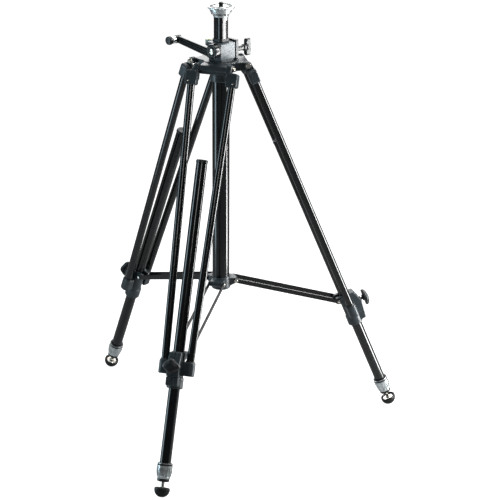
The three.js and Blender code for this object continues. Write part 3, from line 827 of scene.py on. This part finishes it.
def bolt_mesh():
    """Hinge bolt with a washer and a hexagon at both ends, and a threaded stub at one."""
    parts = [prism_y(circle(2.9, 24), -41, 41)]
    for side in (-1, 1):
        for part in (ring(6.4, 2.9, 0, 1.0, 40, 0.25), shifted(hexagon_head(5.4, 3.6), z=1.0)):
            parts.append(shifted(facing_y(part, side), y=side * 39.6))
    stub = threaded(2.6, 0.8, 0, 1.4, 0.35)
    parts.append(shifted(facing_y(stub), y=43.8))
    return gathered(*parts)


def hand_pieces():
    """Pieces on both sides of a leg: name, right-hand shape, material, slot and CAD node."""
    return (
        ("shank", shank_mesh(), TUBE_BLACK, "anodised_black", "shank_tube"),
        ("clamp", clamp_mesh(), CAST, "casting_grey", "upper_clamp"),
        ("clamp_screw", clamp_screw(), STEEL, "steel_bright"),
        ("shank_ring", shank_collar(), PLASTIC, "plastic_black"),
    )


def leg_pieces():
    """Pieces that a leg has once: name, shape, body, material, slot and CAD node."""
    return (
        ("casting", casting_mesh(), "leg", CAST, "casting_grey", "lock_casting"),
        ("knob", knob_mesh(), "knob", PLASTIC, "plastic_black", "lock_knob"),
        ("knob_screw", knob_screw_mesh(), "knob", DARK_STEEL, "steel_bright"),
        ("slide", rod(SLIDE_RADIUS, SLIDE_LOW.z, SLIDE_HIGH.z, 72, 0.5), "slide", TUBE_BLACK,
         "anodised_black", "slide_tube"),
        ("slide_cap", cap_mesh(), "slide", PLASTIC, "plastic_black", "tube_cap"),
        ("collar_barrel", fluted_barrel(), "collar", TURNED, "satin_alloy", "foot_collar"),
        ("collar_rings", collar_rings(), "collar", PLASTIC, "plastic_black"),
        ("collar_line", collar_line(), "collar", TURNED, "satin_alloy"),
        ("spike", spike_mesh(), "slide", STEEL, "steel_bright", "foot_spike"),
        ("ball", pad_mesh(), "pad", RUBBER, "rubber_black", "foot_pad"),
        ("ball_washer", pad_washer(), "pad", STEEL, "steel_bright"),
    )


def build_leg(leg, handed, single, bolt):
    """Places a leg's pieces. The front knob lies across its leg, the other two lie along theirs."""
    where = leg_place(leg)
    for hand, side in HANDS.items():
        for name, shape, material, slot, *nodes in handed:
            nodes = [f"{leg}_{node}_{hand}" for node in nodes]
            piece(f"{leg}_{name}_{hand}", mirrored(shape, side), where, f"{leg}_leg", material, slot, *nodes)
    knob_turn = Matrix.Rotation(0 if leg == "front" else math.pi / 2, 4, "X")
    knob_place = where @ Matrix.Translation((0, 0, -KNOB_ALONG * MM)) @ knob_turn
    for name, shape, body, material, slot, *nodes in single:
        spot = knob_place if body == "knob" else where
        nodes = [f"{leg}_{node}" for node in nodes]
        piece(f"{leg}_{name}", shape, spot, f"{leg}_{body}", material, slot, *nodes)
    hinge = place(where.translation, JOINTS[f"{leg}_leg_fold"]["axis"], UP)
    piece(f"{leg}_bolt", bolt, hinge, "frame", STEEL, "steel_bright", f"{leg}_hinge_bolt")


# ---- Braces ----
def bar_mesh(length):
    """Flat bar with round ends, on the right-hand side."""
    half = BRACE_BAR["height"] / 2
    outline = arc(half, -90, 90, 20, (length, 0)) + arc(half, 90, 270, 20)
    inner = BRACE_BAR["inside"]
    bar = prism_y(outline, inner, inner + BRACE_BAR["thick"], 0.35, 2)
    return cut(bar, prism_y(circle(3.1, 24), 0, 40), prism_y(circle(2.2, 24, (length, 0)), 0, 40))


def rivet_mesh(length):
    """Domed half rivet at the leg end of a bar."""
    profile = [
        (0, 14.6), (2.0, 14.6), (2.0, 16.9), (3.8, 16.9), (3.7, 17.6), (3.0, 18.2), (1.6, 18.6), (0, 18.7),
    ]
    return shifted(spun_y(profile, 0.25, 32), x=length)


def build_brace(leg):
    where = brace_place(leg)
    length = (leg_place(leg) @ (BRACE_PIN * MM) - where.translation).length / MM
    bar, rivet = bar_mesh(length), rivet_mesh(length)
    for hand, side in HANDS.items():
        body = f"{leg}_brace"
        node = f"{body}_bar_{hand}"
        piece(f"{leg}_bar_{hand}", mirrored(bar, side), where, body, BAR_BLACK, "anodised_black", node)
        piece(f"{leg}_rivet_{hand}", mirrored(rivet, side), where, body, STEEL, "steel_bright")


def on_spoke(leg, mesh, x=0, z=0):
    """Brings a shape drawn on a leg's spoke, X outwards, into the column's own axes."""
    return moved(shifted(mesh, x, 0, z), place((0, 0, 0), JOINTS[f"{leg}_leg_fold"]["axis"], UP))


def hub_mesh():
    """Sliding cup with three lugs."""
    bottom, top = [corner.z for corner in span("brace_hub", COLUMN)]
    body = spun([
        (0, bottom), (18.9, bottom), (20.4, bottom + 2.5), (20.4, top - 2), (19.2, top), (0, top),
    ], 1.0, 72)
    lugs = []
    for leg in LEGS:
        outline = arc(5.6, -90, 90, 14, HUB_PIN) + corners((14, HUB_PIN[1] + 7), (14, bottom + 5))
        lugs.append(on_spoke(leg, prism_y(outline, -14.2, 14.2, 0.8)))
    grooves = ring(30, 19.7, bottom + 11.4, bottom + 12.6, 72, 0.1)
    hub = join(cut(body, grooves), *lugs)
    return cut(hub, rod(18.35, bottom - 5, top + 5, 72, 0))


def hub_pins():
    """Brace pins with clips on their ends."""
    parts = []
    for leg in LEGS:
        pin = rod_y(2.9, -18.9, 18.9, 32, 0.5)
        clips = [shifted(facing_y(ring(4.4, 2.5, 0, 0.7, 32, 0.15), side), y=side * 17.3) for side in (-1, 1)]
        parts += [on_spoke(leg, part, *HUB_PIN) for part in (pin, *clips)]
    return gathered(*parts)


# ---- Shoulder and column ----
def shoulder_mesh():
    """Spider with three arms, a round middle, a collar under it and a neck on top."""
    hinge = Vector(JOINTS["front_leg_fold"]["pos_m"])
    hinge_radius = (hinge - AXIS).xy.length / MM
    hinge_height = hinge.z / MM
    parts = []
    for leg in LEGS:
        arm = prism(rectangle(10, 54, -ARM_HALF, ARM_HALF, 5), 791.5, 809.5, 2.2, 4)
        barrel = rod_y(7.4, -ARM_HALF, ARM_HALF, 40, 0.8)
        parts += [on_spoke(leg, arm), on_spoke(leg, barrel, hinge_radius, hinge_height - 3.0)]
    disc = spun([(0, 789.5), (35.5, 789.5), (37, 792), (37, 809), (35.6, 811), (0, 811)], 1.2, 96)
    collar = spun([
        (0, 766), (20.4, 766), (21.8, 767.4), (21.8, 777), (22.8, 784), (26, 790), (30, 793), (0, 793),
    ], 1.5, 96)
    head_turn = Matrix.Rotation(HEAD.to_euler().z, 4, "Z")
    neck = moved(prism(rectangle(-17, 21, -20, 19, 5), 806, 814.7, 0.6), head_turn)
    body = join(disc, *parts, collar, neck)
    sleeve_way = rod(18.2, 760, 800.2, 96, 0)
    column_way = moved(prism(rectangle(-12.4, 12.4, -12.4, 12.4, 5.2), 795, 830), head_turn)
    groove = ring(40, 21.4, 771.6, 772.6, 96, 0.1)
    hinge_spot = (hinge_radius, hinge_height)
    bolt_ways = [on_spoke(leg, prism_y(circle(3.1, 24, hinge_spot), -32, 32)) for leg in LEGS]
    return cut(body, sleeve_way, column_way, groove, *bolt_ways)


def sleeve_mesh():
    low, high = span("column_sleeve", HEAD)
    r = high.x
    return ring(r, r - 1.3, low.z, high.z, 96, 0.4)


def column_mesh():
    """Square tube with round corners, a bore, and the groove that holds the rack."""
    low, high = span("centre_column", HEAD)
    rack_low, rack_high = span("column_rack", HEAD)
    half = high.x
    body = prism(square(half), low.z, high.z, 0.5, 2)
    bore = rod(7.9, low.z - 5, high.z + 5, 48, 0)
    groove = rectangle(rack_low.x - 0.2, half + 5, rack_low.y - 0.2, rack_high.y + 0.2)
    return cut(body, bore, prism(groove, rack_low.z - 1, rack_high.z + 1))


def column_marks():
    """Row of small round height marks down one face."""
    low, high = span("centre_column", HEAD)
    start, end = low.z + 40, high.z - 8
    dot = rod_y(0.55, low.y - 0.06, low.y + 0.3, 12, 0, 1)
    return gathered(*[shifted(dot.copy(), z=start + 5 * k) for k in range(int((end - start) // 5))])


PLATE_LOW, PLATE_HIGH = span("top_plate", HEAD)
PLATE_TOP = PLATE_HIGH.z
POCKET_DEPTH = 3.2


def plate_pockets(low, high):
    """The rosette's six round and six wedge-shaped pockets, as solids between two heights."""
    solids = []
    for k in range(6):
        wedge = soften([(15, -1.6), (24.0, -3.6), (24.0, 3.6), (15, 1.6)], 1.2, 3)
        solids.append(swung(shifted(rod(3.4, low, high, 28, 0), x=20), 60 * k + 30))
        solids.append(swung(prism(wedge, low, high), 60 * k))
    return solids


def pocket_shade_sheets():
    """Dark sheets on the pockets' floors: painted shade in the recesses."""
    floor_height = PLATE_TOP - POCKET_DEPTH
    return gathered(*plate_pockets(floor_height - 0.1, floor_height + 0.2))


def plate_rosette():
    """Dull ring between the plate's turned lands, with the pockets through it."""
    top = PLATE_TOP
    return cut(ring(24.6, 13.6, top - 1.2, top - 0.8, 96, 0.05), *plate_pockets(top - 3, top + 3))


def plate_mesh():
    """Head plate: a knurled rim on a stepped cone, with a rosette of pockets on top."""
    top, rim, low = PLATE_TOP, PLATE_HIGH.x, PLATE_LOW.z
    under = low + 20
    profile = [
        (0, low), (7.6, low), (7.6, under), (15.6, under), (17.0, under + 4), (19.6, under + 8.2),
        (21.2, under + 8.6), (23.0, top - 8), (24.0, top - 4.4), (rim - 0.8, top - 3.6), (rim, top - 2.8),
        (rim, top - 1.0), (rim - 1.0, top), (25.4, top), (24.8, top - 0.9), (13.4, top - 0.9), (12.8, top),
        (0, top),
    ]
    body = spun(profile, 0.5, 120, 2)
    tools = plate_pockets(top - POCKET_DEPTH, top + 5)
    for k in range(36):
        tools.append(swung(shifted(rod(0.9, top - 3.4, top + 2, 12, 0), x=rim + 0.35), 10 * k))
    return cut(body, rod(5.0, top - 8.3, top + 5, 48, 0), *tools)


def plate_screws():
    """Three set screws in the plate's cone."""
    screws = [shifted(facing_x(socket_screw(2.6, 2.2, 1.3)), 17.6, 0, SET_SCREWS) for _ in range(3)]
    return gathered(*[swung(screw, 120 * k - 14) for k, screw in enumerate(screws)])


def stud_mesh():
    low, high = span("mount_screw", HEAD)
    return threaded(high.x, 1.5875, low.z, high.z - 0.5, 0.75, 32, 8)


# ---- Gear block ----
def housing_mesh():
    """Cast block with a seam round it, the level's seat, and the ways for column and shafts."""
    low, high = span("gear_housing", HEAD)
    outline = rectangle(-18, high.x, low.y, high.y, 3)
    body = prism(outline, low.z, high.z, 1.0, 4)
    level_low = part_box("spirit_level")[0].z / MM
    seat = spun([
        (0, level_low - 4), (7.6, level_low - 4), (8.4, level_low - 3), (8.4, level_low - 0.3),
        (0, level_low - 0.3),
    ], 0.5, 48)
    bridge = prism(rectangle(LEVEL.x, -15, LEVEL.y - 6.5, LEVEL.y + 6.5), level_low - 4, level_low - 0.4, 0.6)
    seam = cut(prism(rectangle(-25, 30, -30, 30), 831.6, 832.3), prism(inset(outline, 0.5), 831, 833))
    body = join(cut(body, seam), bridge, shifted(seat, *LEVEL))
    return cut(
        body,
        prism(square(COLUMN_WAY), low.z - 5, high.z + 5),
        prism_y(circle(4.1, 32, (PINION.x, PINION.z)), low.y - 5, -12),
    )


def cover_mesh():
    low, high = span("housing_cover", HEAD)
    outline = rectangle(low.x, high.x, low.z, high.z, 3)
    body = prism_y(outline, low.y, high.y, 1.0, 4)
    boss = spun_y([(0, high.y - 2), (9.2, high.y - 2), (8.4, high.y + 1.4), (0, high.y + 1.4)], 0.5, 48)
    body = join(body, shifted(boss, z=LOCK_HEIGHT))
    return cut(body, prism_y(circle(4.25, 32, (0, LOCK_HEIGHT)), low.y - 5, high.y + 5))


def cover_screws():
    low, high = span("housing_cover", HEAD)
    spots = [(x, z) for x in (low.x + 5, high.x - 5) for z in (low.z + 5, high.z - 5)]
    return gathered(*[shifted(facing_y(slotted_screw(2.6, 1.5, 0.8)), x, high.y - 0.1, z) for x, z in spots])


def bush_mesh():
    """Square plastic collar round the column, stepped on top."""
    low, high = span("column_bush", HEAD)
    half = high.x
    lower = prism(square(half), low.z, high.z - 1.8, 0.7)
    upper = prism(square(half - 0.9, 6.2), high.z - 3, high.z, 0.6)
    return cut(join(lower, upper), prism(square(COLUMN_WAY), low.z - 5, high.z + 5))


def level_parts():
    """Level: its pale cup, fluid, printed circle and bubble."""
    low, high = span("spirit_level", HEAD)
    base, top = low.z, high.z
    cup = ring(high.x - LEVEL.x, 6.4, base, top - 1.0, 64, 0.6)
    crown = turned([(0, base + 0.2), *dome(6.35, 1.6, top - 1.9, 10), (0, top - 0.3)], 48)
    circle_mark = ring(3.1, 2.5, top - 0.9, top - 0.38, 48, 0.05)
    bubble = turned([(0, top - 1.0), *dome(1.7, 0.55, top - 0.75, 15), (0, top - 0.2)], 32)
    shifted(bubble, 0.9, -0.5)
    return [shifted(part, *LEVEL) for part in (cup, crown, circle_mark, bubble)]


def lock_knob_mesh():
    """Flat wing with rounded ends and shallow side scoops, on a stepped stem."""
    wing = prism_y(rectangle(-5.5, 5.5, -18, 18, 5.4, 8), 67.5, 78.5, 1.8, 4)
    scoops = [
        prism_y(circle(14, 40, (side * 18.6, height)), 66, 84) for side in (-1, 1) for height in (-10, 10)
    ]
    stem = spun_y([
        (0, 28), (4.2, 28), (4.2, 40), (5.2, 41), (5.2, 60), (7, 61), (7, 66), (8, 68), (8, 72), (0, 72),
    ], 0.7, 48)
    return shifted(join(cut(wing, *scoops), stem), z=LOCK_HEIGHT)


def lock_screw_mesh():
    tip = span("column_lock_knob", HEAD)[0].y
    screw = threaded(4, 1.25, tip + 0.5, 28.5, 0.55, 28)
    return shifted(facing_y(screw), z=LOCK_HEIGHT)


def arm_mesh():
    """Crank arm: a tapered bar with a shallow trough, a ring round the shaft and an eye at its tip."""
    near, far = 30, 41
    outline = soften([(-6, -9.4), (CRANK_LENGTH, -7.4), (CRANK_LENGTH, 7.4), (-6, 8.8)], 1.5, 3)
    bar = prism_y(outline, near, far, 4.2, 7)
    trough = soften([(21, -5.4), (95, -3.9), (95, 3.9), (21, 5.2)], 3.0, 4)
    bar = cut(bar, prism_y(trough, far - 1.6, far + 5))
    rib = prism_y(soften([(19, 0.4), (97, 0.4), (97, 1.9), (19, 1.9)], 0.6, 2), far - 2, far - 0.2, 0.3)
    bar = join(bar, rib)
    bar = moved(bar, Matrix.Translation((0, 0, -CRANK_DROP)) @ Matrix.Rotation(-CRANK_RISE, 4, "Y"))
    hub = spun_y([
        (0, near), (15, near), (15, far - 1), (13.6, far + 0.4), (10.4, far + 0.4), (9.6, far - 1.2),
        (0, far - 1.2),
    ], 1.0, 72)
    eye = rod_y(8.6, near, far + 1, 48, 1.0)
    axle = rod_y(3, 35, 44, 32, 0.3)
    return join(bar, hub, shifted(eye, *CRANK_TIP), shifted(axle, *CRANK_TIP))


def grip_neck():
    """Alloy sleeve between the arm's eye and the grip's black end."""
    profile = [(0, 43.1), (7.4, 43.1), (8.0, 44), (8.0, 52.6), (7.4, 54.4), (0, 54.4)]
    return shifted(spun_y(profile, 0.5, 56), *CRANK_TIP)


def grip_mesh():
    """Black end of the turning grip, domed."""
    profile = [(0, 54.4), (8.2, 54.4), (9.0, 55.4), (9.0, 60.0), (8.2, 62.4), (5.6, 63.3), (0, 63.3)]
    return shifted(spun_y(profile, 1.0, 56, 4), *CRANK_TIP)


def build_common():
    piece("shoulder_spider", shoulder_mesh(), COLUMN, "frame", CAST, "casting_grey", "shoulder")
    piece("guide_tube", sleeve_mesh(), HEAD, "frame", TUBE_BLACK, "anodised_black", "column_sleeve")
    piece("hub_cup", hub_mesh(), COLUMN, "hub", CAST, "casting_grey", "brace_hub")
    piece("hub_pins", hub_pins(), COLUMN, "hub", STEEL, "steel_bright")


def build_head():
    cup, crown, circle_mark, bubble = level_parts()
    for name, shape, body, *finish in (
        ("gear_block", housing_mesh(), "frame", BLOCK_PAINT_LIT_COPY, "casting_grey", "gear_housing"),
        ("gear_cover", cover_mesh(), "frame", PLASTIC, "casting_grey", "housing_cover"),
        ("gear_cover_screws", cover_screws(), "frame", STEEL, "steel_bright"),
        ("square_bush", bush_mesh(), "frame", PLASTIC, "plastic_black", "column_bush"),
        ("level_cup", cup, "frame", CUP, "level_vial", "spirit_level"),
        ("level_crown", crown, "frame", FLUID, "level_vial"),
        ("level_circle", circle_mark, "frame", ORANGE_MARK, "level_vial"),
        ("level_bubble", bubble, "frame", ORANGE_MARK, "level_vial"),
        ("column_knob_wing", lock_knob_mesh(), "column_knob", PLASTIC, "plastic_black", "column_lock_knob"),
        ("column_knob_screw", lock_screw_mesh(), "column_knob", STEEL, "steel_bright"),
        ("column_tube", column_mesh(), "column", TUBE_BLACK, "anodised_black", "centre_column"),
        ("column_marks", column_marks(), "column", GREY_MARK, "satin_alloy"),
        ("head_plate", plate_mesh(), "column", TURNED, "satin_alloy", "top_plate"),
        ("head_plate_rosette", plate_rosette(), "column", DULL, "satin_alloy"),
        # dark sheets in the plate's pockets are painted shade
        ("head_plate_floors", pocket_shade_sheets(), "column", DARK_STEEL, "satin_alloy"),
        ("head_plate_screws", plate_screws(), "column", STEEL, "steel_bright"),
        ("head_stud", stud_mesh(), "column", DARK_STEEL, "steel_bright", "mount_screw"),
    ):
        piece(name, shape, HEAD, body, *finish)


def build_crank():
    where = crank_place()
    screw = shifted(facing_y(swung(slotted_screw(7.2, 3.6, 1.6), 40)), y=39.6)
    piece("crank_lever", arm_mesh(), where, "crank", GLOSS, "casting_grey", "crank_arm")
    piece("crank_plate", rod_y(14.7, 24.4, 29.4, 64, 0.8), where, "pinion", PLASTIC, "plastic_black")
    piece("crank_screw", screw, where, "crank", STEEL, "steel_bright")
    piece("grip_neck", grip_neck(), where, "grip", BLASTED, "satin_alloy")
    piece("turning_grip", grip_mesh(), where, "grip", PLASTIC, "plastic_black", "crank_grip")


def paint_frame_nodes():
    """Finishes of the CAD pieces that stay as they are."""
    finishes = {
        "sleeve_plug": PLASTIC, "lock_shoe": BRASS, "column_rack": DARK_STEEL, "pinion_shaft": DARK_STEEL,
    }
    for name, material in finishes.items():
        node = frame["nodes"][name]
        node.data.materials.clear()
        node.data.materials.append(material)


# ---- Stage ----
def floor():
    """White paper for the camera, dim for all else, so that dark tubes keep their dark flanks."""
    size = 60
    mesh = bpy.data.meshes.new("floor")
    mesh.from_pydata([(*spot, 0) for spot in rectangle(-size, size, -size, size)], [], [range(4)])
    shader = Shader("floor_paper")
    seen = shader.node("ShaderNodeLightPath").outputs["Is Camera Ray"]
    paper = shader.finished(
        base_color=shader.mapped(seen, 0, 1, 0.25, 0.30),
        roughness=0.9,
        emission_color=(1, 1, 1),
        emission_strength=shader.mapped(seen, 0, 1, 0.05, 1.0),
    )
    mesh.materials.append(paper)
    linked("floor", mesh)


def softbox(name, position, target, width, height, power, colour=(1, 1, 1)):
    data = bpy.data.lights.new(name, "AREA")
    data.shape = "RECTANGLE"
    data.size, data.size_y = width, height
    data.energy = power
    data.color = colour
    light = linked(name, data)
    light.location = position
    aim = Vector(target) - Vector(position)
    light.rotation_euler = aim.to_track_quat("-Z", "Y").to_euler()
    light.visible_camera = False


def outwards(azimuth):
    """The level direction from the column towards an azimuth in degrees."""
    turn = math.radians(azimuth)
    return Vector((math.cos(turn), math.sin(turn), 0))


def upright(name, azimuth, distance, heights, width, power, colour=(1, 1, 1)):
    """A standing panel that faces the column."""
    target = AXIS + UP * sum(heights) / 2
    spot = target + outwards(azimuth) * distance
    softbox(name, spot, target, width, heights[1] - heights[0], power, colour)


def studio():
    world = bpy.data.worlds.new("studio")
    bpy.context.scene.world = world
    world.use_nodes = True
    background = world.node_tree.nodes["Background"]
    background.inputs["Color"].default_value = (1, 1, 1, 1)
    background.inputs["Strength"].default_value = 0.06
    bpy.context.scene.view_settings.view_transform = "Standard"
    upright("strip_right", 17, 0.95, (-0.1, 1.4), 0.21, 30)
    upright("glow_left", 211, 1.1, (-0.1, 1.4), 0.36, 9, (0.66, 0.88, 1.0))
    upright("backdrop", 108, 2.1, (1.0, 2.4), 2.6, 50)
    softbox("strip_front", (1.2, -2.9, 2.6), (0, 0.1, 0.5), 0.5, 1.6, 18)
    softbox("top", (0.3, 0.9, 2.9), (0, 0.1, 0.6), 2.0, 1.6, 40)


def camera():
    """Long lens, looking down on the tripod past its crank."""
    pitch, yaw = math.radians(20.53), math.radians(0.87)
    distance, height = 3.7985, 1.8174
    towards = outwards(288.12)
    data = bpy.data.cameras.new("camera")
    data.lens = 137.9
    data.sensor_width = 36
    made = linked("camera", data)
    made.location = AXIS + towards * distance + UP * height
    look = -towards * math.cos(pitch) - UP * math.sin(pitch)
    turn = look.to_track_quat("-Z", "Y").to_matrix().to_4x4() @ Matrix.Rotation(-yaw, 4, "Y")
    made.rotation_euler = turn.to_euler()
    bpy.context.scene.camera = made


camera()
studio()
floor()
paint_frame_nodes()
handed, single, bolt = hand_pieces(), leg_pieces(), bolt_mesh()
for leg in LEGS:
    build_leg(leg, handed, single, bolt)
    build_brace(leg)
build_common()
build_head()
build_crank()
